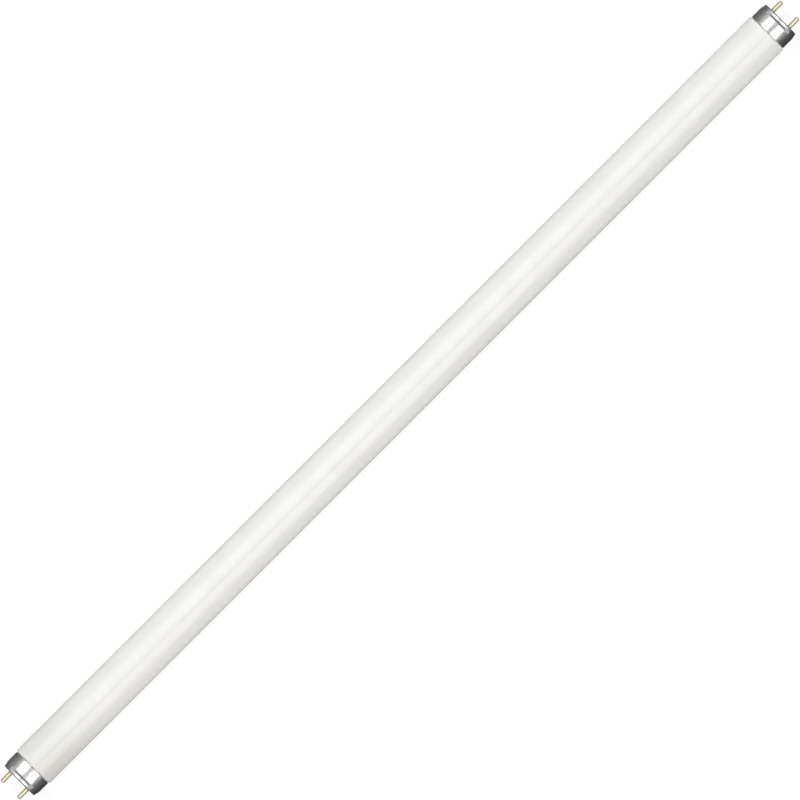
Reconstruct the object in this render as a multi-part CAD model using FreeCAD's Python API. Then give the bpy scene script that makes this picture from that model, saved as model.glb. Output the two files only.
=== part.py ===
import FreeCAD
import Part
import math
import os
from FreeCAD import Vector

# Straight fluorescent lamp with a cap of two pins on each end, in millimetres.
# It lies along X with its middle at the origin. A cap's pins stand apart along Y, and Z is up.
# Each end is described on the right, and depths are counted from the outer face of its cap.

# Whole lamp
face_to_face = 589.8  # between the outer faces of the two caps
pin_length = 7.1  # from a cap's face to the tip of its pins

# Glass tube
tube_diameter = 25.5
glass_wall = 0.6
shoulder_radius = 1.2  # bend from the tube in towards the neck
neck_end_depth = 6.0

# Glass stem, which closes each end and carries the wires
stem_diameter = 9.6
stem_length = 18.0  # from the end of the neck to the floor of the stem
flare_length = 4.5  # over which the stem widens to the neck that it is fused to
stem_floor = 1.0
pinch_length = 4.0  # over which the round stem flattens to the press
press_length = 6.0
press_width = 10.4
press_thickness = 2.8
press_crown = 0.2  # swelling of each flat side at its middle
exhaust_diameter = 3.8
exhaust_bore = 2.4
exhaust_tip_length = 2.0  # drawn-out end where the tube was melted off
exhaust_tip_diameter = 1.2
exhaust_tip_gap = 1.8  # from the melted tip to the insulator
pump_hole_diameter = 2.0

# Aluminium cap shell, drawn from one sheet
cap_length = 10.4
sheet_thickness = 0.35
skirt_inset = 0.65  # of the skirt below the glass, on the radius
mouth_gap = 0.2  # between the skirt's mouth and the glass shoulder
step_depth = 3.2  # where the skirt ends
step_length = 1.35
step_height = 0.42
rim_taper = 0.16  # on the radius, from the step to the face
face_bevel = 0.55
face_opening_diameter = 18.8

# Basing cement between the skirt and the neck
cement_thickness = 0.5
cement_mouth_recess = 0.6

# Moulded insulator, a plate that fills the rim of the cap behind its face and carries the pins
fit_clearance = 0.03
plate_thickness = 2.8

# Brass pins
pin_spacing = 12.7
pin_diameter = 2.35
pin_tip_bevel = 0.5
pin_bore = 1.5
pin_bore_length = 1.6  # from the riveted end, for the wire
collar_diameter = 3.6
collar_thickness = 0.6
rivet_diameter = 3.4
rivet_thickness = 0.35

# Lead wires
wire_diameter = 0.5
wire_spacing = 5.8  # where they leave the stem's floor
wire_seal_length = 3.0  # fused into the glass of the stem
wire_bend_depth = 8.6
wire_entry = 0.4  # straight run before the pin's mouth

# What follows from these sizes
tube_radius = tube_diameter / 2
skirt_radius = tube_radius - skirt_inset
skirt_bore_radius = skirt_radius - sheet_thickness
neck_radius = skirt_bore_radius - cement_thickness
rim_root_radius = skirt_radius - step_height
rim_face_radius = rim_root_radius - rim_taper
plug_radius = rim_face_radius - sheet_thickness - fit_clearance
plate_depth = sheet_thickness + plate_thickness
pin_end_depth = plate_depth + rivet_thickness
stem_bore_radius = stem_diameter / 2 - glass_wall
stem_floor_depth = neck_end_depth + stem_length
pin_sides = (-pin_spacing / 2, pin_spacing / 2)
wire_sides = (-wire_spacing / 2, wire_spacing / 2)
axis_direction = Vector(1, 0, 0)

# Kinds of corner, in the order in which an offset and a sweep number them
offset_corners = ("arc", "tangent", "sharp")
sweep_corners = ("plain", "mitred", "round")


def behind_face(depth):
    """X of a place that deep behind the face of the right cap."""
    return face_to_face / 2 - depth


def in_section(corners):
    """Points in the XZ plane from pairs of (x, distance from the axis)."""
    return [Vector(x, 0, distance) for x, distance in corners]


def turned(corners):
    """Solid of revolution about X, with its outline straight from corner to corner and back to the first."""
    outline = Part.makePolygon(in_section(corners + corners[:1]))
    return Part.Face(outline).revolve(Vector(), axis_direction, 360)


def turned_wall(path, thickness):
    """Round wall of even thickness about X, with its outside on the path."""
    corner = offset_corners.index("sharp")
    section = path.makeOffset2D(-thickness, join=corner, fill=True, openResult=True)
    return section.revolve(Vector(), axis_direction, 360)


def rod(radius, start, end, y=0.0):
    """Cylinder along X between two values of x."""
    return Part.makeCylinder(radius, abs(end - start), Vector(min(start, end), y, 0), axis_direction)


def shoulder_bend(shoulder_x):
    """Quarter arc of the right shoulder, from the side of the tube in to the plane at shoulder_x."""
    centre_x, centre_distance = shoulder_x - shoulder_radius, tube_radius - shoulder_radius
    slant = shoulder_radius * math.sqrt(0.5)
    return Part.Arc(*in_section([
        (centre_x, tube_radius),
        (centre_x + slant, centre_distance + slant),
        (shoulder_x, centre_distance),
    ])).toShape()


def glass_envelope():
    """Tube, shoulders, necks, flares and stems as one wall, from the floor of one stem to the other's."""
    shoulder_x = behind_face(cap_length + mouth_gap)
    neck_end_x = behind_face(neck_end_depth)
    shoulder = shoulder_bend(shoulder_x)
    neck_and_stem = Part.makePolygon(in_section([
        (shoulder_x, tube_radius - shoulder_radius),
        (shoulder_x, neck_radius),
        (neck_end_x, neck_radius),
        (neck_end_x - flare_length, stem_bore_radius),
        (behind_face(stem_floor_depth), stem_bore_radius),
    ]))
    right_end = [shoulder] + neck_and_stem.Edges
    left_end = [mirrored(edge) for edge in right_end]
    side_end = shoulder.Vertexes[0].Point
    side = Part.makeLine(Vector(-side_end.x, 0, side_end.z), side_end)
    return turned_wall(Part.Wire([side] + right_end + left_end), glass_wall)


def four_arc_outline(x, corner_y, corner_z, half_width, half_thickness):
    """Closed outline across X, of four arcs that meet in corners at plus and minus (corner_y, corner_z)."""
    corners = [(corner_y, corner_z), (-corner_y, corner_z), (-corner_y, -corner_z), (corner_y, -corner_z)]
    middles = [(0, half_thickness), (-half_width, 0), (0, -half_thickness), (half_width, 0)]
    arcs = []
    for start, middle, end in zip(corners, middles, corners[1:] + corners[:1]):
        arcs.append(Part.Arc(Vector(x, *start), Vector(x, *middle), Vector(x, *end)).toShape())
    return Part.Wire(arcs)


def stem_press():
    """Closed inner end of the right stem: its floor, the pinch and the flat press that seals the wires."""
    floor_x = behind_face(stem_floor_depth)
    pinch_x = floor_x - stem_floor
    press_x = pinch_x - pinch_length
    stem_radius = stem_diameter / 2
    diagonal = stem_radius * math.sqrt(0.5)
    half_flat = (press_width - press_thickness) / 2
    half_thickness = press_thickness / 2
    stem_end = four_arc_outline(pinch_x, diagonal, diagonal, stem_radius, stem_radius)
    flat_end = four_arc_outline(
        press_x, half_flat, half_thickness, press_width / 2, half_thickness + press_crown)
    floor = rod(stem_radius, pinch_x, floor_x)
    pinch = Part.makeLoft([stem_end, flat_end], True)
    press = Part.Face(flat_end).extrude(Vector(-press_length, 0, 0))
    return floor.fuse([pinch, press])


def exhaust_tube():
    """Tube on the axis of the right stem, through which the lamp was pumped out before its tip was melted."""
    tip_x = behind_face(plate_depth + exhaust_tip_gap)
    root_x = behind_face(stem_floor_depth) - stem_floor / 2
    radius = exhaust_diameter / 2
    return turned([
        (root_x, 0),
        (root_x, radius),
        (tip_x - exhaust_tip_length, radius),
        (tip_x, exhaust_tip_diameter / 2),
        (tip_x, 0),
    ])


def exhaust_passage():
    """Bore of the right exhaust tube, with the hole across it that opens into the lamp through the pinch."""
    tip_x = behind_face(plate_depth + exhaust_tip_gap)
    hole_x = behind_face(stem_floor_depth) - stem_floor - pinch_length / 2
    bore = rod(exhaust_bore / 2, hole_x, tip_x - exhaust_tip_length)
    hole_start = Vector(hole_x, 0, -stem_diameter / 2)
    hole = Part.makeCylinder(pump_hole_diameter / 2, stem_diameter, hole_start, Vector(0, 0, 1))
    return bore.fuse(hole)


def wire_seals():
    """The two places in the floor of the right stem where the glass holds a lead wire."""
    floor_x = behind_face(stem_floor_depth)
    return [rod(wire_diameter / 2, floor_x - wire_seal_length, floor_x, y) for y in wire_sides]


def glass_tube():
    """The whole glass, fused from the tube and the stem at each end, with its sealed hollow inside."""
    added = [stem_press(), exhaust_tube()]
    removed = [exhaust_passage()] + wire_seals()
    glass = glass_envelope().fuse(added + [mirrored(part) for part in added])
    glass = glass.cut(removed + [mirrored(part) for part in removed])
    return glass.removeSplitter().Solids[0]


def cap_shell():
    """Drawn cup: a skirt over the neck, a step down to the rim, and a face turned in round the opening."""
    mouth_x = behind_face(cap_length)
    step_x = behind_face(step_depth)
    face_x = behind_face(0)
    outside = Part.makePolygon(in_section([
        (mouth_x, skirt_radius),
        (step_x, skirt_radius),
        (step_x + step_length, rim_root_radius),
        (face_x - face_bevel, rim_face_radius),
        (face_x, rim_face_radius - face_bevel),
        (face_x, face_opening_diameter / 2),
    ]))
    return turned_wall(outside, sheet_thickness)


def cement_ring():
    """Cement that fills the gap between the skirt and the neck, a little short of the mouth."""
    inner_x = behind_face(neck_end_depth)
    outer_x = behind_face(cap_length - cement_mouth_recess)
    return turned([
        (inner_x, neck_radius),
        (inner_x, skirt_bore_radius),
        (outer_x, skirt_bore_radius),
        (outer_x, neck_radius),
    ])


def insulator():
    """Moulded plate seated on the inside of the cap's face, with a stepped hole for each pin."""
    seat_x = behind_face(sheet_thickness)
    back_x = behind_face(plate_depth)
    plate = turned([
        (seat_x, 0),
        (seat_x, plug_radius - face_bevel),
        (seat_x - face_bevel, plug_radius),
        (back_x, plug_radius),
        (back_x, 0),
    ])
    recess_x = seat_x - collar_thickness
    bores = [rod(pin_diameter / 2 + fit_clearance, back_x, recess_x, y) for y in pin_sides]
    recesses = [rod(collar_diameter / 2 + fit_clearance, recess_x, seat_x, y) for y in pin_sides]
    return plate.cut(bores + recesses).Solids[0]


def pin():
    """Brass pin on the axis, with its collar sunk in the insulator and its hollow end riveted behind."""
    tip_x = behind_face(-pin_length)
    collar_x = behind_face(sheet_thickness)
    plate_x = behind_face(plate_depth)
    end_x = behind_face(pin_end_depth)
    radius = pin_diameter / 2
    return turned([
        (tip_x, 0),
        (tip_x, radius - pin_tip_bevel),
        (tip_x - pin_tip_bevel, radius),
        (collar_x, radius),
        (collar_x, collar_diameter / 2),
        (collar_x - collar_thickness, collar_diameter / 2),
        (collar_x - collar_thickness, radius),
        (plate_x, radius),
        (plate_x, rivet_diameter / 2),
        (end_x, rivet_diameter / 2),
        (end_x, pin_bore / 2),
        (end_x + pin_bore_length, pin_bore / 2),
        (end_x + pin_bore_length, 0),
    ])


def lead_wire():
    """Wire on the +Y side, from its seal in the stem out past the flare to the end of the pin's bore."""
    seal_x = behind_face(stem_floor_depth) - wire_seal_length
    pin_end_x = behind_face(pin_end_depth)
    wire_y, pin_y = wire_spacing / 2, pin_spacing / 2
    path = Part.makePolygon([
        Vector(seal_x, wire_y, 0),
        Vector(behind_face(wire_bend_depth), wire_y, 0),
        Vector(pin_end_x - wire_entry, pin_y, 0),
        Vector(pin_end_x + pin_bore_length, pin_y, 0),
    ])
    section = Part.makeCircle(wire_diameter / 2, Vector(seal_x, wire_y, 0), axis_direction)
    corner = sweep_corners.index("mitred")
    return path.makePipeShell([Part.Wire(section)], True, False, corner)


def moved(shape, y):
    """Copy of a shape, moved along Y."""
    return shape.translated(Vector(0, y, 0))


def mirrored(shape, normal=axis_direction):
    """Copy of a shape on the other side of the origin, mirrored to the left end unless told otherwise."""
    return shape.mirror(Vector(), normal)


def right_end_pieces():
    """Every piece of the right cap by name, where front is towards -Y and back towards +Y."""
    one_pin = pin()
    back_wire = lead_wire()
    front_y, back_y = pin_sides
    return {
        "cap_shell": cap_shell(),
        "cement_ring": cement_ring(),
        "insulator": insulator(),
        "pin_front": moved(one_pin, front_y),
        "pin_back": moved(one_pin, back_y),
        "lead_wire_front": mirrored(back_wire, Vector(0, 1, 0)),
        "lead_wire_back": back_wire,
    }


def main():
    os.makedirs("parts", exist_ok=True)
    pieces = {"glass_tube": glass_tube()}
    for name, shape in right_end_pieces().items():
        pieces[name + "_right"] = shape
        pieces[name + "_left"] = mirrored(shape)
    for name, shape in pieces.items():
        shape.exportStep(f"parts/{name}.step")
        print(name, shape.ShapeType, "valid" if shape.isValid() else "NOT VALID", round(shape.Volume, 2))


main()
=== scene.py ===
# %% [markdown]
# A straight fluorescent tube: a long glass tube, white from the powder on its inside, with an aluminium cap
# on each end and two brass pins in each cap. The lamp lies along X with its middle at the origin, a cap's
# two pins stand apart along Y, and Z is up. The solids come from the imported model, and every surface that is
# made here is put exactly where they are.

# %% Load the lamp's solids
import math

import bmesh
import bpy
import numpy as np
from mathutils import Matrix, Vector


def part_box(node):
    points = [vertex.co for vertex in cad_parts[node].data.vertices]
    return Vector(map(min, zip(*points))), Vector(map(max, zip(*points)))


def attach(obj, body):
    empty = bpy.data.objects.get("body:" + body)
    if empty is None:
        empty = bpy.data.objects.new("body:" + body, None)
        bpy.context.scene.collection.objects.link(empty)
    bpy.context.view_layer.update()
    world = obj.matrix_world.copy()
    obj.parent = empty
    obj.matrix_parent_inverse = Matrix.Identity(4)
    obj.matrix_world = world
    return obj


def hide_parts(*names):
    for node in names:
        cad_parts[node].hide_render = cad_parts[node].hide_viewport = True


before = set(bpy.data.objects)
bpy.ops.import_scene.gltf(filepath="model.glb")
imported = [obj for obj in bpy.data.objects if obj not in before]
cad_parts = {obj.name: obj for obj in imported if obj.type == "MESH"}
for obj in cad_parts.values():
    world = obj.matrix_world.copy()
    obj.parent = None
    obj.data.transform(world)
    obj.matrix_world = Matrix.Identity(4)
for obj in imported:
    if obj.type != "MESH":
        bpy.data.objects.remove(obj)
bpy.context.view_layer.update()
print("solids:", sorted(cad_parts))

# %% [markdown]
# The sizes that the surfaces need. The caps and pins are drawn from the solids' own boxes, so they stay
# right if the lamp is made longer or thicker. What a box doesn't tell, such as the place of the cap's step,
# is given here once, in metres.

# %% Sizes of the caps and pins
MM = 0.001
SHEET = 0.35 * MM  # thickness of the cap's aluminium
STEP_START, STEP_LENGTH, STEP_HEIGHT = 3.2 * MM, 1.35 * MM, 0.42 * MM
RIM_TAPER = 0.16 * MM
OPENING_RADIUS = 9.4 * MM
PIN_RADIUS, PIN_TIP_BEVEL = 1.175 * MM, 0.32 * MM
PIN_BORE_RADIUS, PIN_BORE_LENGTH = 0.75 * MM, 1.6 * MM
COLLAR_RADIUS, COLLAR_THICKNESS = 1.8 * MM, 0.6 * MM
RIVET_RADIUS, RIVET_THICKNESS = 1.7 * MM, 0.35 * MM

cap_low, cap_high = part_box("cap_shell_right")
pin_low, pin_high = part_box("pin_back_right")
FACE_X, MOUTH_X, SKIRT_RADIUS = cap_high.x, cap_low.x, cap_high.z
PIN_TIP_X, PIN_END_X = pin_high.x, pin_low.x
PIN_Y = (pin_low.y + pin_high.y) / 2
TUBE_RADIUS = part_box("glass_tube")[1].z
print(f"cap from {MOUTH_X / MM:.2f} to {FACE_X / MM:.2f} mm, radius {SKIRT_RADIUS / MM:.2f} mm")
print(f"pins at {PIN_Y / MM:.2f} mm from the axis, tips at {PIN_TIP_X / MM:.2f} mm")

# %% [markdown]
# The photograph looks at the lamp square on, from far away, and the lamp runs from the lower left corner of
# the picture to the upper right. An orthographic camera would give that flat look too, but a very long lens
# does it and still works when the camera is moved for other views. The lamp lies on the floor, so the camera
# hangs above it, and it is turned by 45 degrees to put the lamp on the diagonal. The Standard view transform
# shows each colour as it is written, with no film look over it.

# %% Camera
SENSOR, LENS = 36.0, 1600.0
VIEW_WIDTH = 0.4381  # metres across the picture, at the lamp's axis

camera_data = bpy.data.cameras.new("camera")
camera_data.sensor_width, camera_data.lens = SENSOR, LENS
camera = bpy.data.objects.new("camera", camera_data)
camera.location = (0, 0, VIEW_WIDTH * LENS / SENSOR)
camera.rotation_euler = (0, 0, -math.pi / 4)
bpy.context.collection.objects.link(camera)
bpy.context.scene.camera = camera
bpy.context.scene.view_settings.view_transform = "Standard"
print(f"camera {camera.location.z:.2f} m above the lamp")

# %% [markdown]
# Every round piece of a lamp cap is a turned one: an outline that runs once round the axis. A Bevel modifier
# could round its edges, but it gives them all one width. So an outline is written as the few corners that a
# maker would draw, each with the radius of its own rounding, and this helper puts the arcs in. At a corner
# with half angle a between its two sides, a rounding of radius r touches each side at r / tan(a) from the
# corner, and the arc between those two points turns about a centre on the bisector.

# %% Outlines with rounded corners
def unit(vector):
    """Vector divided by its length."""
    return vector / np.linalg.norm(vector)


def rounded(corners, steps=6):
    """Points of an outline through corners of (x, distance from the axis, radius).

    Each arc is the two unit vectors from its centre to its ends, mixed by sines so that the angle is even.
    """
    corners = np.array(corners, float)
    points = [corners[:1, :2]]
    for before, here, after in zip(corners, corners[1:], corners[2:]):
        corner, radius = here[:2], here[2]
        if radius == 0:
            points.append(corner[None])
            continue
        inwards, onwards = unit(before[:2] - corner), unit(after[:2] - corner)
        half = math.acos(np.clip(inwards @ onwards, -1, 1)) / 2
        reach = radius / math.tan(half)
        centre = corner + unit(inwards + onwards) * radius / math.sin(half)
        first = (corner + inwards * reach - centre) / radius
        last = (corner + onwards * reach - centre) / radius
        swing = math.pi - 2 * half
        t = np.linspace(0, 1, steps + 1)[:, None]
        arc = (np.sin((1 - t) * swing) * first + np.sin(t * swing) * last) / math.sin(swing)
        points.append(centre + radius * arc)
    points.append(corners[-1:, :2])
    return np.vstack(points)


print("rounded test corner:", len(rounded([(0, 0, 0), (1, 0, 0.2), (1, 1, 0)])), "points")

# %% [markdown]
# The surface of a turned piece has two parameters: the place u along the outline and the angle v round the
# axis. Blender's Screw modifier could turn the outline, but worked out as one grid, the surface is finished
# at once and its size can be checked. One grid of points holds the whole piece, and one grid of faces joins
# each point to its neighbours. Where an outline starts or ends on the axis, its ring of points falls
# together, and merging the doubles closes the pole. A closed outline, as of sheet metal, is joined from its
# last point back to its first.

# %% Turned surfaces
TOUCHING = 1e-7  # metres; points nearer than this are one point


def turned_surface(name, outline, around, centre_y=0.0, closed=False):
    """Mesh of x = X(u), y = centre_y + R(u) cos v, z = R(u) sin v, with X and R given by the outline."""
    v = np.linspace(0, 2 * math.pi, around, endpoint=False)
    x, r = outline[:, :1], outline[:, 1:]
    grid = np.stack([x + 0 * v, centre_y + r * np.cos(v), r * np.sin(v)], axis=-1)
    rows = len(outline) if closed else len(outline) - 1
    i, j = np.meshgrid(np.arange(rows), np.arange(around), indexing="ij")
    i_next, j_next = (i + 1) % len(outline), (j + 1) % around
    quads = np.stack([i * around + j, i_next * around + j, i_next * around + j_next, i * around + j_next], -1)
    mesh = bpy.data.meshes.new(name)
    mesh.from_pydata(grid.reshape(-1, 3).tolist(), [], quads.reshape(-1, 4).tolist())
    return finished(name, mesh)


def finished(name, mesh):
    """Object of a closed mesh, with its doubles merged, its faces turned outwards and its shading smooth."""
    work = bmesh.new()
    work.from_mesh(mesh)
    bmesh.ops.remove_doubles(work, verts=work.verts, dist=TOUCHING)
    bmesh.ops.recalc_face_normals(work, faces=work.faces)
    open_edges = sum(1 for edge in work.edges if len(edge.link_faces) != 2)
    print(f"{name}: {len(work.faces)} faces, {open_edges} open edges, {work.calc_volume() * 1e9:.1f} mm3")
    work.to_mesh(mesh)
    work.free()
    mesh.polygons.foreach_set("use_smooth", np.ones(len(mesh.polygons), bool))
    piece = bpy.data.objects.new(name, mesh)
    bpy.context.collection.objects.link(piece)
    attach(piece, "root")
    return piece


# %% [markdown]
# The cap is a cup, drawn from thin aluminium sheet in one stroke of a press. From the mouth, a straight
# skirt goes over the neck of the glass. Then a soft step leads down to a short rim, which tapers a little so
# that it leaves the die, and the face turns in to hold the insulator. Sheet metal has no sharp corner, so
# each bend is rounded, and the inside is the same outline moved in by the thickness of the sheet. The packed
# solids could be shown as they are, but their bends are flat bevels. On bright metal the bends catch the
# light as fine lines, so they are made again here with true roundings, over the same sizes.

# %% Cap shells
MOUTH_ROUNDING = 0.33 * MM
SKIRT_END_ROUNDING, RIM_START_ROUNDING = 0.8 * MM, 1.6 * MM  # the two bends of the step
INNER_SKIRT_ROUNDING, INNER_RIM_ROUNDING = 0.4 * MM, 1.1 * MM  # the same bends inside the sheet
FACE_ROUNDING = 0.8 * MM
OPENING_ROUNDING = 0.12 * MM
SKIRT_SHARE = 0.4  # the section starts and ends on the skirt's straight inside, this far along it
CAP_AROUND = 160  # points round the axis


def cap_outline():
    """Closed section of the right cap: outside from mouth to opening, then back along the inside."""
    step_x, rim_x = FACE_X - STEP_START, FACE_X - STEP_START + STEP_LENGTH
    rim_radius = SKIRT_RADIUS - STEP_HEIGHT
    face_radius = rim_radius - RIM_TAPER
    start_x = MOUTH_X + SKIRT_SHARE * (step_x - MOUTH_X)
    return rounded([
        (start_x, SKIRT_RADIUS - SHEET, 0),
        (MOUTH_X, SKIRT_RADIUS - SHEET, 0),
        (MOUTH_X, SKIRT_RADIUS, MOUTH_ROUNDING),
        (step_x, SKIRT_RADIUS, SKIRT_END_ROUNDING),
        (rim_x, rim_radius, RIM_START_ROUNDING),
        (FACE_X, face_radius, FACE_ROUNDING),
        (FACE_X, OPENING_RADIUS, OPENING_ROUNDING),
        (FACE_X - SHEET, OPENING_RADIUS, OPENING_ROUNDING),
        (FACE_X - SHEET, face_radius - SHEET, FACE_ROUNDING - SHEET),
        (rim_x, rim_radius - SHEET, INNER_RIM_ROUNDING),
        (step_x, SKIRT_RADIUS - SHEET, INNER_SKIRT_ROUNDING),
        (start_x, SKIRT_RADIUS - SHEET, 0),
    ])[:-1]


right_outline = cap_outline()
left_outline = right_outline * (-1, 1)
cap_shells = {
    "left": turned_surface("cap_left", left_outline, CAP_AROUND, closed=True),
    "right": turned_surface("cap_right", right_outline, CAP_AROUND, closed=True),
}
for end, cap in cap_shells.items():
    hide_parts(f"cap_shell_{end}")

# %% [markdown]
# A pin is turned from brass. Its tip is blunt with a rounded edge, so that it finds its slot in the
# lampholder. A collar sits in the face of the insulator, the shank goes through, and the hollow inner end is
# riveted over and takes the lead wire. It could be put together from cylinders, but a lathe cuts it from one
# bar, so one outline from the tip to the bottom of that bore draws it all, with the edges that a lathe
# breaks.

# %% Contact pins
TIP_ROUNDING, ROOT_ROUNDING, EDGE_ROUNDING = 0.2 * MM, 0.15 * MM, 0.06 * MM
PIN_AROUND = 64  # points round the pin's own axis


def pin_outline():
    """Open section of a right pin, from the middle of its tip back to the bottom of its bore."""
    collar_x = FACE_X - SHEET
    plate_x = PIN_END_X + RIVET_THICKNESS
    bore_x = PIN_END_X + PIN_BORE_LENGTH
    return rounded([
        (PIN_TIP_X, 0, 0),
        (PIN_TIP_X, PIN_RADIUS - PIN_TIP_BEVEL, TIP_ROUNDING),
        (PIN_TIP_X - PIN_TIP_BEVEL, PIN_RADIUS, TIP_ROUNDING),
        (collar_x, PIN_RADIUS, ROOT_ROUNDING),
        (collar_x, COLLAR_RADIUS, EDGE_ROUNDING),
        (collar_x - COLLAR_THICKNESS, COLLAR_RADIUS, EDGE_ROUNDING),
        (collar_x - COLLAR_THICKNESS, PIN_RADIUS, 0),
        (plate_x, PIN_RADIUS, 0),
        (plate_x, RIVET_RADIUS, EDGE_ROUNDING),
        (PIN_END_X, RIVET_RADIUS, EDGE_ROUNDING),
        (PIN_END_X, PIN_BORE_RADIUS, EDGE_ROUNDING),
        (bore_x, PIN_BORE_RADIUS, 0),
        (bore_x, 0, 0),
    ])


right_pin = pin_outline()
pins = []
for end, outline in (("left", right_pin * (-1, 1)), ("right", right_pin)):
    for side, y in (("front", -PIN_Y), ("back", PIN_Y)):
        pin = turned_surface(f"contact_{side}_{end}", outline, PIN_AROUND, centre_y=y)
        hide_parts(f"pin_{side}_{end}")
        pins.append(pin)

# %% [markdown]
# Materials are made of nodes that feed one another. They could be placed by hand in the editor, but in code
# they can be read and repeated. Two helpers keep it short: one makes any node and sets its inputs, where an
# input may be a number, a colour or the output of another node, and one does the same for sums and products.

# %% Helpers for nodes
def add(tree, kind, inputs=None, **settings):
    """Adds a node, sets its properties, and sets or links its inputs by name or number."""
    node = tree.nodes.new("ShaderNode" + kind)
    for name, value in settings.items():
        setattr(node, name, value)
    for name, value in (inputs or {}).items():
        if isinstance(value, bpy.types.NodeSocket):
            tree.links.new(value, node.inputs[name])
        else:
            node.inputs[name].default_value = value
    return node


def math_node(tree, operation, *values):
    """Output of a Math node, whose inputs are numbers or outputs in their order."""
    return add(tree, "Math", dict(enumerate(values)), operation=operation).outputs[0]


trial = bpy.data.node_groups.new("trial", "ShaderNodeTree")
print("a trial sum makes the node", math_node(trial, "ADD", 1.0, 2.0).node.name)
bpy.data.node_groups.remove(trial)

# %% [markdown]
# Handling leaves its marks on every part of a lamp: faint smudges where fingers held it, and a little dust.
# They could be painted on an image, but noise needs no picture and no unwrapped surface. The same effect is
# on glass, metal and moulding at different strengths, so it is a node group, built once. Large soft noise
# gives the smudges. Fine noise, cut off high, gives the dust. Both read Object coordinates, so they stay on
# the piece and keep their real size in metres.

# %% Node group: handling
def group(name, inputs, outputs):
    """Node group with inputs of (name, default value) and outputs of those names, all of them numbers."""
    tree = bpy.data.node_groups.new(name, "ShaderNodeTree")
    for label, value in inputs:
        socket = tree.interface.new_socket(label, in_out="INPUT", socket_type="NodeSocketFloat")
        socket.default_value = value
    for label in outputs:
        tree.interface.new_socket(label, in_out="OUTPUT", socket_type="NodeSocketFloat")
    return tree, tree.nodes.new("NodeGroupInput"), tree.nodes.new("NodeGroupOutput")


def handling_group():
    """Mask of smudges and dust: smudge noise x Smudge strength + dust specks x Dust strength."""
    tree, inside, out = group(
        "handling",
        [("Smudge Size", 60.0), ("Smudge Strength", 0.5), ("Dust Size", 2500.0), ("Dust Strength", 0.3)],
        ["Mask"])
    place = add(tree, "TexCoord").outputs["Object"]
    broad = add(tree, "TexNoise", {
        "Vector": place, "Scale": inside.outputs["Smudge Size"], "Detail": 4.0, "Roughness": 0.55,
        "Distortion": 0.3}).outputs["Fac"]
    smudge = add(tree, "MapRange", {"Value": broad, "From Min": 0.4, "From Max": 0.7}).outputs[0]
    fine = add(tree, "TexNoise", {
        "Vector": place, "Scale": inside.outputs["Dust Size"], "Detail": 1.0}).outputs["Fac"]
    specks = add(tree, "MapRange", {"Value": fine, "From Min": 0.66, "From Max": 0.74}).outputs[0]
    smudged = math_node(tree, "MULTIPLY", smudge, inside.outputs["Smudge Strength"])
    dusty = math_node(tree, "MULTIPLY", specks, inside.outputs["Dust Strength"])
    both = add(tree, "Math", {0: smudged, 1: dusty}, operation="ADD", use_clamp=True).outputs[0]
    tree.links.new(both, out.inputs["Mask"])
    return tree


handling = handling_group()
print("group", handling.name, "with", len(handling.nodes), "nodes")

# %% [markdown]
# Metal that is drawn or turned keeps fine lines. On the caps they run with the axis, the way that the sheet
# slid over the punch, and on the pins they run round. An anisotropic shader would only smear the light, and
# the lines themselves show close up, so they are a pattern. In both metals it is noise, stretched along the
# lines: its coordinates are the place along the axis and the angle round it, each with its own scale. The
# angle comes from the direction across the axis, whose cosine and sine have no seam.

# %% Node group: drawn lines
def drawn_lines_group():
    """Noise in (x times Along, direction round the axis times Around), as fine lines and as broad patches."""
    tree, inside, out = group(
        "drawn_lines", [("Along", 40.0), ("Around", 60.0), ("Centre Y", 0.0)],
        ["Lines", "Patches"])
    place = add(tree, "SeparateXYZ", {0: add(tree, "TexCoord").outputs["Object"]})
    from_pin = math_node(tree, "SUBTRACT", math_node(
        tree, "ABSOLUTE", place.outputs["Y"]), inside.outputs["Centre Y"])
    across = add(tree, "CombineXYZ", {"X": 0.0, "Y": from_pin, "Z": place.outputs["Z"]}).outputs[0]
    turn = add(tree, "VectorMath", {0: across}, operation="NORMALIZE").outputs[0]
    spread = add(tree, "VectorMath", {0: turn, "Scale": inside.outputs["Around"]}, operation="SCALE")
    round_about = add(tree, "SeparateXYZ", {0: spread.outputs[0]})
    along = math_node(tree, "MULTIPLY", place.outputs["X"], inside.outputs["Along"])
    where = add(tree, "CombineXYZ", {
        "X": along, "Y": round_about.outputs["Y"], "Z": round_about.outputs["Z"]}).outputs[0]
    lines = add(tree, "TexNoise", {"Vector": where, "Scale": 1.0, "Detail": 5.0, "Roughness": 0.7})
    patches = add(tree, "TexNoise", {"Vector": where, "Scale": 0.12, "Detail": 3.0, "Distortion": 1.2})
    tree.links.new(lines.outputs["Fac"], out.inputs["Lines"])
    tree.links.new(patches.outputs["Fac"], out.inputs["Patches"])
    return tree


drawn_lines = drawn_lines_group()
print("group", drawn_lines.name, "with", len(drawn_lines.nodes), "nodes")

# %% [markdown]
# The glass is clear, but nobody sees that: the powder on its inside makes it an even warm white, under the
# gloss of the outer face. Glass over powder could be two surfaces, but an opaque white with a smooth gloss
# looks the same and is far quicker. The powder is a little uneven. Near the left end the white is darker,
# under a faint grey-yellow veil that is deepest on the front side. The drawn tube also waves by
# some microns along its length, which moves the reflections, so that is a very weak bump, stretched along X.
# Three helpers start a material, place a node group in it and print how many nodes it has. What is the same
# all over a surface, such as the index of refraction, is set on the shader itself.

# %% Material: coated glass
def material(name, **values):
    """Material with a Principled BSDF whose plain inputs are set from values, such as Base_Color=..."""
    made = bpy.data.materials.new(name)
    made.use_nodes = True
    shader = made.node_tree.nodes["Principled BSDF"]
    for key, value in values.items():
        shader.inputs[key.replace("_", " ")].default_value = value
    return made, made.node_tree, shader


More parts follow.
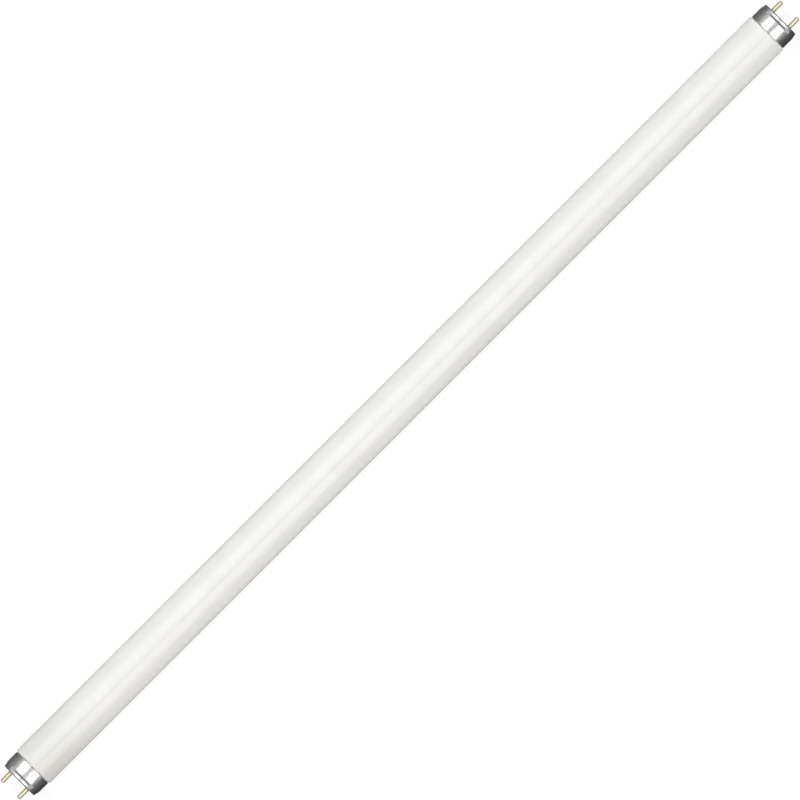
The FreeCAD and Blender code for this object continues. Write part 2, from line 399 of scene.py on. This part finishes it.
def place_group(tree, made, inputs):
    """Places a group with its own input values and gives its outputs."""
    node = add(tree, "Group", node_tree=made)
    for name, value in inputs.items():
        node.inputs[name].default_value = value
    return node.outputs


def tell(*materials):
    """Prints how many nodes each finished material has."""
    for made in materials:
        print("material", made.name, "with", len(made.node_tree.nodes), "nodes")


def coated_glass():
    """Two whites mixed by powder noise, then the veil mixed in by place, then handling. A wave is the bump."""
    made, tree, shader = material("coated_glass", IOR=1.5)
    place = add(tree, "TexCoord").outputs["Object"]
    powder = add(tree, "TexNoise", {
        "Vector": place, "Scale": 90.0, "Detail": 6.0, "Roughness": 0.55}).outputs["Fac"]
    even = add(tree, "MapRange", {"Value": powder, "From Min": 0.3, "From Max": 0.7}).outputs[0]
    white = add(tree, "Mix", {
        "Factor": even, "A": (0.866, 0.864, 0.848, 1), "B": (0.9, 0.899, 0.885, 1)}, data_type="RGBA")
    part = add(tree, "SeparateXYZ", {0: place}).outputs
    # The veil darkens the white from some 6 cm before the left cap on, and is half as strong on the back side.
    near_left_end = add(tree, "MapRange", {
        "Value": math_node(tree, "MULTIPLY", part["X"], -1.0), "From Min": 0.225, "From Max": 0.287},
        interpolation_type="SMOOTHSTEP").outputs[0]
    one_side = add(tree, "MapRange", {
        "Value": math_node(tree, "MULTIPLY", part["Y"], -1.0), "From Min": 0.0, "From Max": 0.008,
        "To Min": 0.5, "To Max": 1.0}, interpolation_type="SMOOTHSTEP").outputs[0]
    veiled = add(tree, "Mix", {
        "Factor": math_node(tree, "MULTIPLY", near_left_end, one_side),
        "A": white.outputs["Result"], "B": (0.75, 0.745, 0.7, 1)}, data_type="RGBA")
    marks = place_group(tree, handling, {
        "Smudge Size": 55.0, "Smudge Strength": 0.6, "Dust Size": 1800.0, "Dust Strength": 0.25})
    dulled = add(tree, "Mix", {
        "Factor": math_node(tree, "MULTIPLY", marks["Mask"], 0.06),
        "A": veiled.outputs["Result"], "B": (0.6, 0.585, 0.55, 1)}, data_type="RGBA")
    tree.links.new(dulled.outputs["Result"], shader.inputs["Base Color"])
    rough = add(tree, "MapRange", {"Value": marks["Mask"], "To Min": 0.06, "To Max": 0.16}).outputs[0]
    tree.links.new(rough, shader.inputs["Roughness"])
    stretched = add(tree, "VectorMath", {0: place, 1: (6.0, 60.0, 60.0)}, operation="MULTIPLY").outputs[0]
    wave = add(tree, "TexNoise", {"Vector": stretched, "Scale": 1.0, "Detail": 1.0}).outputs["Fac"]
    bump = add(tree, "Bump", {"Height": wave, "Strength": 0.08, "Distance": 0.0006}).outputs[0]
    tree.links.new(bump, shader.inputs["Normal"])
    return made


glass_material = coated_glass()
tell(glass_material)

# %% [markdown]
# Aluminium has no colour of its own worth the name, so its look is what it mirrors. In the photograph the
# caps have two bright bands and dark, uneven sides. Painted stripes could copy that from one side only, so
# the metal mirrors real lights and flags instead. Thin sheet is never quite true: the die leaves a shallow
# swell and a fine orange peel in it, and both bend the edges of the bands. The drawn lines only scratch it
# and make the roughness vary, and a thin grey bloom dulls the metal in patches.

# %% Material: drawn aluminium
def cap_aluminium():
    """Two greys mixed by bloom, then handling. The bump is swell + peel x 0.22 + lines x 0.03."""
    made, tree, shader = material("cap_aluminium", Metallic=1.0)
    lines = place_group(tree, drawn_lines, {"Along": 120.0, "Around": 45.0})
    marks = place_group(tree, handling, {
        "Smudge Size": 260.0, "Smudge Strength": 0.8, "Dust Size": 6000.0, "Dust Strength": 0.2})
    bloom = add(tree, "MapRange", {
        "Value": lines["Patches"], "From Min": 0.42, "From Max": 0.66}).outputs[0]
    metal = add(tree, "Mix", {
        "Factor": bloom, "A": (0.7, 0.7, 0.69, 1), "B": (0.61, 0.61, 0.6, 1)}, data_type="RGBA")
    dulled = add(tree, "Mix", {
        "Factor": math_node(tree, "MULTIPLY", marks["Mask"], 0.35),
        "A": metal.outputs["Result"], "B": (0.45, 0.44, 0.425, 1)}, data_type="RGBA")
    tree.links.new(dulled.outputs["Result"], shader.inputs["Base Color"])
    rough = add(tree, "MapRange", {
        "Value": math_node(tree, "ADD", lines["Lines"], math_node(tree, "MULTIPLY", marks["Mask"], 0.3)),
        "From Min": 0.3, "From Max": 1.0, "To Min": 0.15, "To Max": 0.3}).outputs[0]
    tree.links.new(rough, shader.inputs["Roughness"])
    place = add(tree, "TexCoord").outputs["Object"]
    swell = add(tree, "TexNoise", {"Vector": place, "Scale": 220.0, "Detail": 1.0}).outputs["Fac"]
    peel = add(tree, "TexNoise", {"Vector": place, "Scale": 900.0, "Detail": 2.0}).outputs["Fac"]
    height = math_node(tree, "MULTIPLY_ADD", lines["Lines"], 0.03, math_node(
        tree, "MULTIPLY_ADD", peel, 0.22, swell))
    bump = add(tree, "Bump", {"Height": height, "Strength": 1.0, "Distance": 0.00015}).outputs[0]
    tree.links.new(bump, shader.inputs["Normal"])
    return made


aluminium = cap_aluminium()
tell(aluminium)

# %% [markdown]
# The pins are a pale, clean brass. The lathe leaves rings round them, and the air leaves a brown tarnish that
# is deepest in the corner by the collar, where nothing rubs it off. The lampholder's springs polish the rest.
# One yellow all over would look like plastic, so the colour goes from brown at the root to brass at the tip.

# %% Material: brass
TARNISH_REACH = 1.6 * MM  # from the cap's face towards the tip


def pin_brass():
    """Brass mixed with brown by tarnish = how near the root is + patches x 0.35. Lathe lines are the bump."""
    made, tree, shader = material("pin_brass", Metallic=1.0)
    lines = place_group(tree, drawn_lines, {"Along": 9000.0, "Around": 3.0, "Centre Y": PIN_Y})
    x = add(tree, "SeparateXYZ", {0: add(tree, "TexCoord").outputs["Object"]}).outputs["X"]
    root = add(tree, "MapRange", {
        "Value": math_node(tree, "ABSOLUTE", x),
        "From Min": FACE_X - SHEET, "From Max": FACE_X + TARNISH_REACH,
        "To Min": 0.75, "To Max": 0.0}, interpolation_type="SMOOTHSTEP").outputs[0]
    tarnish = add(tree, "Math", {
        0: root, 1: math_node(tree, "MULTIPLY", lines["Patches"], 0.35)}, operation="ADD", use_clamp=True)
    colour = add(tree, "Mix", {
        "Factor": tarnish.outputs[0], "A": (0.52, 0.457, 0.33, 1), "B": (0.3, 0.22, 0.11, 1)},
        data_type="RGBA")
    tree.links.new(colour.outputs["Result"], shader.inputs["Base Color"])
    rough = add(tree, "MapRange", {
        "Value": lines["Lines"], "From Min": 0.3, "From Max": 0.7, "To Min": 0.15, "To Max": 0.26})
    tree.links.new(rough.outputs[0], shader.inputs["Roughness"])
    bump = add(tree, "Bump", {"Height": lines["Lines"], "Strength": 0.15, "Distance": 0.00002}).outputs[0]
    tree.links.new(bump, shader.inputs["Normal"])
    return made


brass = pin_brass()
tell(brass)

# %% [markdown]
# The insulator is pressed from a dark resin with a mineral filler. It is matt, slightly mottled, and its
# skin is not quite flat. Only its face shows, in the opening of each cap, and it collects dust there. One
# fine noise serves as mottle and as relief, because both come from the same grains of filler.

# %% Material: moulded resin
def moulded_insulator():
    """Two dark browns mixed by the grain, then dust mixed in by handling. The grain is also the bump."""
    made, tree, shader = material("moulded_insulator")
    place = add(tree, "TexCoord").outputs["Object"]
    grain = add(tree, "TexNoise", {
        "Vector": place, "Scale": 1400.0, "Detail": 6.0, "Roughness": 0.65}).outputs["Fac"]
    mottle = add(tree, "MapRange", {"Value": grain, "From Min": 0.35, "From Max": 0.7}).outputs[0]
    resin = add(tree, "Mix", {
        "Factor": mottle, "A": (0.03, 0.024, 0.02, 1), "B": (0.075, 0.06, 0.048, 1)}, data_type="RGBA")
    marks = place_group(tree, handling, {
        "Smudge Size": 300.0, "Smudge Strength": 0.35, "Dust Size": 5000.0, "Dust Strength": 0.7})
    dusty = add(tree, "Mix", {
        "Factor": math_node(tree, "MULTIPLY", marks["Mask"], 0.3),
        "A": resin.outputs["Result"], "B": (0.33, 0.31, 0.28, 1)}, data_type="RGBA")
    tree.links.new(dusty.outputs["Result"], shader.inputs["Base Color"])
    rough = add(tree, "MapRange", {"Value": marks["Mask"], "To Min": 0.42, "To Max": 0.65}).outputs[0]
    tree.links.new(rough, shader.inputs["Roughness"])
    bump = add(tree, "Bump", {"Height": grain, "Strength": 0.25, "Distance": 0.00008}).outputs[0]
    tree.links.new(bump, shader.inputs["Normal"])
    return made


resin_material = moulded_insulator()
tell(resin_material)

# %% [markdown]
# Two materials are hidden inside the caps, and still get a finish, because the pieces are part of the model.
# The cement is a chalky, grainy filler. The lead wires are plain drawn wire with a grey oxide on it.

# %% Materials: cement and wire
def basing_cement():
    """Two chalky greys mixed by the grain, which is also the bump."""
    made, tree, shader = material("basing_cement", Roughness=0.9)
    place = add(tree, "TexCoord").outputs["Object"]
    grain = add(tree, "TexNoise", {"Vector": place, "Scale": 1800.0, "Detail": 8.0}).outputs["Fac"]
    chalk = add(tree, "Mix", {
        "Factor": grain, "A": (0.5, 0.46, 0.39, 1), "B": (0.78, 0.74, 0.66, 1)}, data_type="RGBA")
    tree.links.new(chalk.outputs["Result"], shader.inputs["Base Color"])
    bump = add(tree, "Bump", {"Height": grain, "Strength": 0.6, "Distance": 0.0002}).outputs[0]
    tree.links.new(bump, shader.inputs["Normal"])
    return made


def lead_wire():
    """Bright wire mixed with oxide by handling, which also makes it rougher."""
    made, tree, shader = material("lead_wire", Metallic=1.0)
    marks = place_group(tree, handling, {
        "Smudge Size": 900.0, "Smudge Strength": 0.8, "Dust Size": 9000.0, "Dust Strength": 0.2})
    oxide = add(tree, "Mix", {
        "Factor": marks["Mask"], "A": (0.66, 0.65, 0.63, 1), "B": (0.36, 0.34, 0.33, 1)}, data_type="RGBA")
    tree.links.new(oxide.outputs["Result"], shader.inputs["Base Color"])
    rough = add(tree, "MapRange", {"Value": marks["Mask"], "To Min": 0.25, "To Max": 0.5}).outputs[0]
    tree.links.new(rough, shader.inputs["Roughness"])
    return made


cement, wire = basing_cement(), lead_wire()
tell(cement, wire)

# %% [markdown]
# Each piece gets its one material. The solids of the glass, the insulators, the cement and the wires have
# the right shape as they are, so they are shown as packed and only change their finish.

# %% Dress the pieces
def dress(piece, finish):
    """Gives a piece its one material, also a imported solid, whose mesh stays as it is."""
    piece.data.materials.clear()
    piece.data.materials.append(finish)


finish_of = {
    "glass": glass_material, "insulator": resin_material, "cement": cement, "lead": wire,
    "cap": aluminium, "pin": brass}
for name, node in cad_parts.items():
    dress(node, finish_of[name.split("_")[0]])
for cap in cap_shells.values():
    dress(cap, aluminium)
for pin in pins:
    dress(pin, brass)
print("dressed", len(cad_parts), "solids and", len(cap_shells) + len(pins), "surfaces")

# %% [markdown]
# The floor is pale, and the lamp lies on it. In the photograph the background is pure white. More light would
# spoil the lamp, so the floor does it by itself: a light of its own, which only the camera, reflections and
# clear pieces see, tops up what the lamps leave, and the lamp still casts its shadow. Away from the lamps
# the floor gets darker, so that share grows with the distance.

# %% Floor
def seen_directly(tree):
    """1 for camera, glossy and transmission rays, else 0."""
    path = add(tree, "LightPath").outputs
    some = math_node(tree, "ADD", path["Is Camera Ray"], path["Is Glossy Ray"])
    return add(tree, "Math", {
        0: some, 1: path["Is Transmission Ray"]}, operation="ADD", use_clamp=True).outputs[0]


def floor_material():
    """Matt pale floor for the light of the lamps, and a floor that is nearly white by itself when seen."""
    made, tree, shader = material("pale_floor", Roughness=1.0)
    shader.inputs["Specular IOR Level"].default_value = 0.0
    seen = seen_directly(tree)
    colour = add(tree, "Mix", {
        "Factor": seen, "A": (0.75, 0.75, 0.745, 1), "B": (0.24, 0.24, 0.24, 1)}, data_type="RGBA")
    tree.links.new(colour.outputs["Result"], shader.inputs["Base Color"])
    place = add(tree, "TexCoord").outputs["Object"]
    distance = add(tree, "VectorMath", {0: place}, operation="LENGTH").outputs["Value"]
    share = add(tree, "MapRange", {
        "Value": distance, "From Min": 0.35, "From Max": 1.6, "To Min": 0.82, "To Max": 1.0},
        interpolation_type="SMOOTHSTEP").outputs[0]
    glow = add(tree, "Emission", {
        "Color": (1, 1, 1, 1), "Strength": math_node(tree, "MULTIPLY", share, seen)})
    both = add(tree, "AddShader", {0: shader.outputs[0], 1: glow.outputs[0]})
    tree.links.new(both.outputs[0], tree.nodes["Material Output"].inputs["Surface"])
    return made


def sheet_object(name, corners, faces, finish):
    """A stage piece of flat faces, which isn't part of the lamp."""
    mesh = bpy.data.meshes.new(name)
    mesh.from_pydata(corners, [], faces)
    piece = bpy.data.objects.new(name, mesh)
    bpy.context.collection.objects.link(piece)
    piece.data.materials.append(finish)
    return piece


FLOOR_Z = -TUBE_RADIUS
REACH = 40.0  # metres, past the edge of every view
floor = sheet_object(
    "floor",
    [(-REACH, -REACH, FLOOR_Z), (REACH, -REACH, FLOOR_Z), (REACH, REACH, FLOOR_Z), (-REACH, REACH, FLOOR_Z)],
    [(0, 1, 2, 3)], floor_material())
print(f"{floor.name} at z = {FLOOR_Z / MM:.2f} mm")

# %% [markdown]
# The light is a photographer's: two long soft boxes above the lamp, one on each side of the camera, and a
# dim room. The metal mirrors them as two bright bands with a grey one between, just as in the photograph.
# A sun lamp or a picture of a studio could light the lamp too, but on so plain a shape every edge of a
# lamp shows as a line along the glass, so each box is put where its lines are in the photograph. The box at
# the back has a brighter core, where its bulbs are: a second light just in front of it, which the glass
# mirrors as the clear line on its upper left. The front box is slightly warmer.

# %% Soft boxes
BOX_HEIGHT, BOX_LENGTH = 0.8, 1.3
BOX_NEAR = {"back": 0.125, "front": -0.216}
BOX_FAR = {"back": 1.13, "front": -1.2}
CORE_NEAR, CORE_FAR, CORE_DROP = 0.27, 0.8, 0.01
WHITE, WARM_WHITE = (1.0, 1.0, 1.0), (1.0, 0.987, 0.96)


def area_light(name, size, radiance, colour, location, turn):
    """Rectangular light of one radiance. Its power is radiance x area x pi."""
    data = bpy.data.lights.new(name, "AREA")
    data.shape, data.size, data.size_y = "RECTANGLE", *size
    data.energy = radiance * size[0] * size[1] * math.pi
    data.color = colour
    light = bpy.data.objects.new(name, data)
    light.location, light.rotation_euler = location, turn
    light.visible_camera = False
    bpy.context.collection.objects.link(light)
    print(f"{name}: {data.energy:.1f} W")
    return light


def soft_box(end, radiance, colour):
    """Light that faces down, from its near edge to its far edge on one side of the lamp."""
    near, far = BOX_NEAR[end], BOX_FAR[end]
    area_light(f"soft_box_{end}", (BOX_LENGTH, abs(far - near)), radiance, colour,
               (0, (near + far) / 2, BOX_HEIGHT), (0, 0, 0))


soft_box("back", 0.82, WHITE)
soft_box("front", 1.58, WARM_WHITE)
area_light("core_back", (BOX_LENGTH, CORE_FAR - CORE_NEAR), 1.02, WHITE,
           (0, (CORE_NEAR + CORE_FAR) / 2, BOX_HEIGHT - CORE_DROP), (0, 0, 0))

# %% [markdown]
# The glass is nearly as bright on its sides as on top, and only its lower right side falls off. A brighter
# room could do that, but it would come from all sides alike. Low lights all round can be set one by one: a
# strong one at the back, a weaker, warmer one at the front, and a still lower one beyond each end for the
# shoulders of the glass. Reflections don't see them, so the sides of the caps stay dark.

# %% Low fill lights
FILL_SIZE, FILL_DISTANCE = (1.3, 0.5), 1.0


def low_fill(name, compass, rise, radiance, colour):
    """Area light in a compass direction (degrees from +X), rise degrees above the floor, facing the lamp."""
    around, up = math.radians(compass), math.radians(rise)
    out = FILL_DISTANCE * math.cos(up)
    light = area_light(
        name, FILL_SIZE, radiance, colour,
        (out * math.cos(around), out * math.sin(around), FILL_DISTANCE * math.sin(up)),
        (math.pi / 2 - up, 0, around + math.pi / 2))
    light.visible_glossy = light.visible_transmission = False


low_fill("low_fill_back", 90, 25, 1.8, WHITE)
low_fill("low_fill_front", 270, 25, 1.08, (1.0, 0.985, 0.945))
low_fill("low_fill_right", 0, 12, 1.9, WHITE)
low_fill("low_fill_left", 180, 12, 1.9, (1.0, 0.99, 0.965))

# %% [markdown]
# Around the lamp stand dark flags, as in any studio that shoots metal: without them bright metal on a white
# floor has no shape. They are walls, a card under the lamp and a strip between the soft boxes. Real cards
# would shade the floor, so these are faint emitters that only reflections see. On the walls at the sides
# the grey rises with the height, which gives the caps their dark sides. Beyond the ends of the lamp they are
# lighter, for the tapered rims. The walls at the ends are dark above, where the steps of the caps look, and
# light below, for the pins and the faces.

# %% Flags
BACK_LEVEL, BACK_RISE = 0.32, 5.0
FRONT_BASE, FRONT_LEVEL, FRONT_RISE = 0.03, 0.13, 18.0
SIDES_BEYOND = 0.6  # the share that the sides gain beyond the caps
STRIP_GREY, STRIP_BEYOND = 0.72, 0.45  # the strip's radiance, and what it gains beyond the caps
PAST_BOX = 0.02  # metres from the far edge of a soft box to the wall behind it


def flag(name, corners, faces, radiance_of):
    """Emitter that only reflections see. radiance_of gets its node tree and gives the output to use."""
    made = bpy.data.materials.new(name)
    made.use_nodes = True
    tree = made.node_tree
    tree.nodes.clear()
    glow = add(tree, "Emission", {"Color": (1, 1, 1, 1), "Strength": radiance_of(tree)})
    tree.links.new(glow.outputs[0], add(tree, "OutputMaterial").inputs["Surface"])
    piece = sheet_object(name, corners, faces, made)
    piece.visible_camera = piece.visible_diffuse = piece.visible_transmission = False
    piece.visible_shadow = piece.visible_volume_scatter = False
    print(f"{name}: {len(faces)} faces, for reflections only")


def beyond(tree):
    """0 beside the caps and 1 further out, where only the tapered rims look."""
    x = add(tree, "SeparateXYZ", {0: add(tree, "TexCoord").outputs["Object"]}).outputs["X"]
    return add(tree, "MapRange", {
        "Value": math_node(tree, "ABSOLUTE", x), "From Min": 0.34, "From Max": 0.44},
        interpolation_type="SMOOTHSTEP").outputs[0]


def dusk(tree):
    """Radiance base + level x rise ** u, with u = z / distance from the lamp's axis, for each side.

    Beyond the caps it is 1 + SIDES_BEYOND times as much.
    """
    place = add(tree, "SeparateXYZ", {0: add(tree, "TexCoord").outputs["Object"]})
    across = add(tree, "CombineXYZ", {"Y": place.outputs["Y"], "Z": place.outputs["Z"]}).outputs[0]
    u = add(tree, "SeparateXYZ", {0: add(
        tree, "VectorMath", {0: across}, operation="NORMALIZE").outputs[0]}).outputs["Z"]
    back = math_node(tree, "MULTIPLY", math_node(tree, "POWER", BACK_RISE, u), BACK_LEVEL)
    front = math_node(tree, "MULTIPLY_ADD", math_node(
        tree, "POWER", FRONT_RISE, u), FRONT_LEVEL, FRONT_BASE)
    at_back = math_node(tree, "GREATER_THAN", place.outputs["Y"], 0.0)
    side = add(tree, "Mix", {"Factor": at_back, "A": front, "B": back}, data_type="FLOAT").outputs[0]
    return math_node(tree, "MULTIPLY", side, math_node(
        tree, "MULTIPLY_ADD", beyond(tree), SIDES_BEYOND, 1.0))


def ends(tree):
    """Dark above, where the steps of the caps look, and lighter near the floor, for the pins and faces."""
    z = add(tree, "SeparateXYZ", {0: add(tree, "TexCoord").outputs["Object"]}).outputs["Z"]
    return add(tree, "MapRange", {
        "Value": z, "From Min": 0.2, "From Max": 0.42, "To Min": 0.75, "To Max": 0.23},
        interpolation_type="SMOOTHSTEP").outputs[0]


def streak(tree):
    """Grey of the strip between the boxes, lighter beyond the caps."""
    return math_node(tree, "MULTIPLY_ADD", beyond(tree), STRIP_BEYOND, STRIP_GREY)


END_X, FRONT_Y, BACK_Y = BOX_LENGTH / 2, BOX_FAR["front"] - PAST_BOX, BOX_FAR["back"] + PAST_BOX
TOP_Z, CARD_Z = BOX_HEIGHT + 0.01, FLOOR_Z + 0.02 * MM  # just above the boxes and just above the floor
posts = [(-END_X, FRONT_Y), (END_X, FRONT_Y), (END_X, BACK_Y), (-END_X, BACK_Y)]
box_corners = [(x, y, z) for z in (CARD_Z, TOP_Z) for x, y in posts]
flag("flag_sides", box_corners, [(0, 1, 5, 4), (2, 3, 7, 6), (0, 1, 2, 3)], dusk)
flag("flag_ends", box_corners, [(1, 2, 6, 5), (3, 0, 4, 7)], ends)
flag("flag_strip", [(x, BOX_NEAR["back" if y > 0 else "front"], TOP_Z) for x, y in posts],
     [(0, 1, 2, 3)], streak)

# %% [markdown]
# The room behind it all is white to the eye and in reflections, but gives only a faint light of its own. It
# could be a large white box, but the world's colour is the same from everywhere and costs no time.

# %% Room
def room():
    """World whose strength is 1 where it is seen and small as a light."""
    world = bpy.data.worlds.new("room")
    world.use_nodes = True
    tree = world.node_tree
    strength = add(tree, "MapRange", {"Value": seen_directly(tree), "To Min": 0.06, "To Max": 1.0}).outputs[0]
    tree.links.new(strength, tree.nodes["Background"].inputs["Strength"])
    tree.nodes["Background"].inputs["Color"].default_value = (1, 1, 1, 1)
    bpy.context.scene.world = world
    print("world", world.name)


room()
